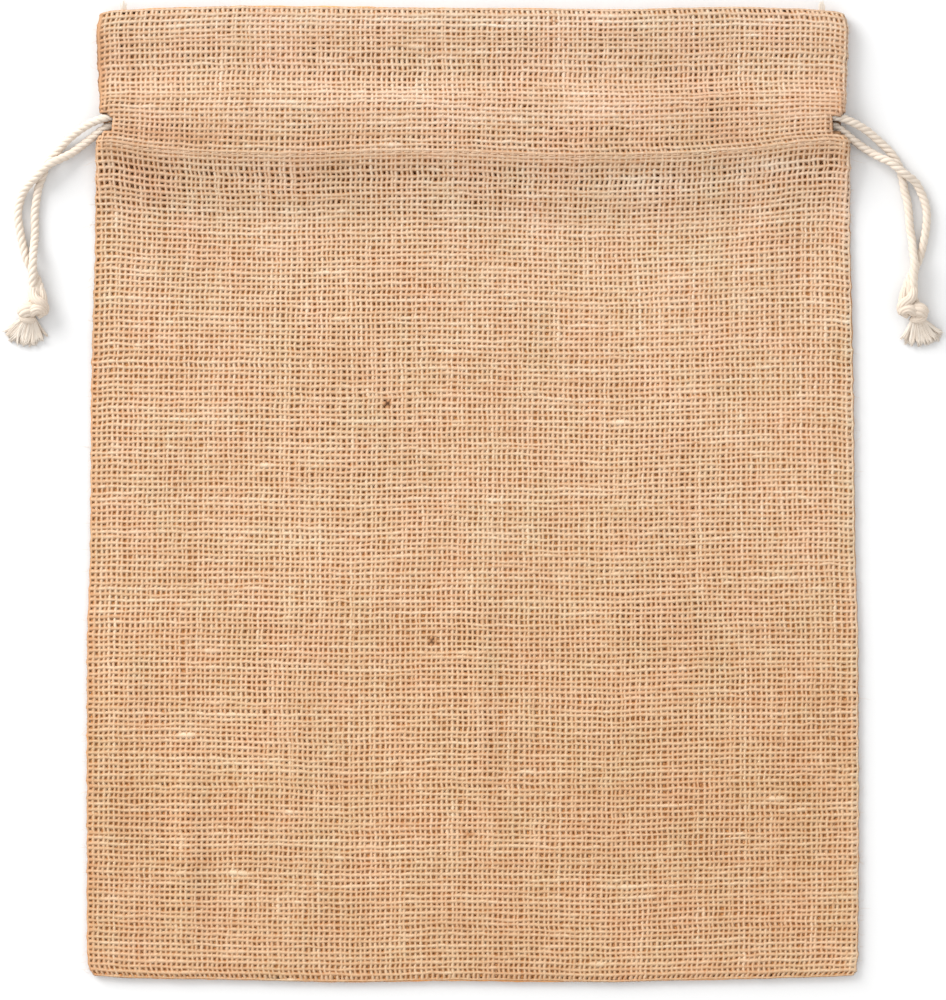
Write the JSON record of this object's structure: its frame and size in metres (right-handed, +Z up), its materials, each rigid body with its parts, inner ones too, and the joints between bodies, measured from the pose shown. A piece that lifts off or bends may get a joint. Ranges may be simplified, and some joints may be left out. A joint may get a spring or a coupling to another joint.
{
  "type": "drawstring sack",
  "caption": "Flat, empty burlap sack laid face up, with a turned-in mouth and cotton drawcords that are knotted together and frayed out at each side.",
  "frame": {"origin": "middle of the sack's outline, on the surface that the sack lies on", "axes": "+Y up the sack towards its mouth, +Z up out of the front face, +X to the right as the front is seen"},
  "size_m": [0.3002, 0.3163, 0.008],
  "materials": {
    "burlap": "coarse plain weave, matte",
    "cotton_cord": "twisted cotton, matte"
  },
  "bodies": {
    "root": {"sack_cloth": "burlap", "front_cord": "cotton_cord", "back_cord": "cotton_cord", "left_knot": "cotton_cord", "right_knot": "cotton_cord", "left_tassel": "cotton_cord", "right_tassel": "cotton_cord"}
  },
  "joints": []
}
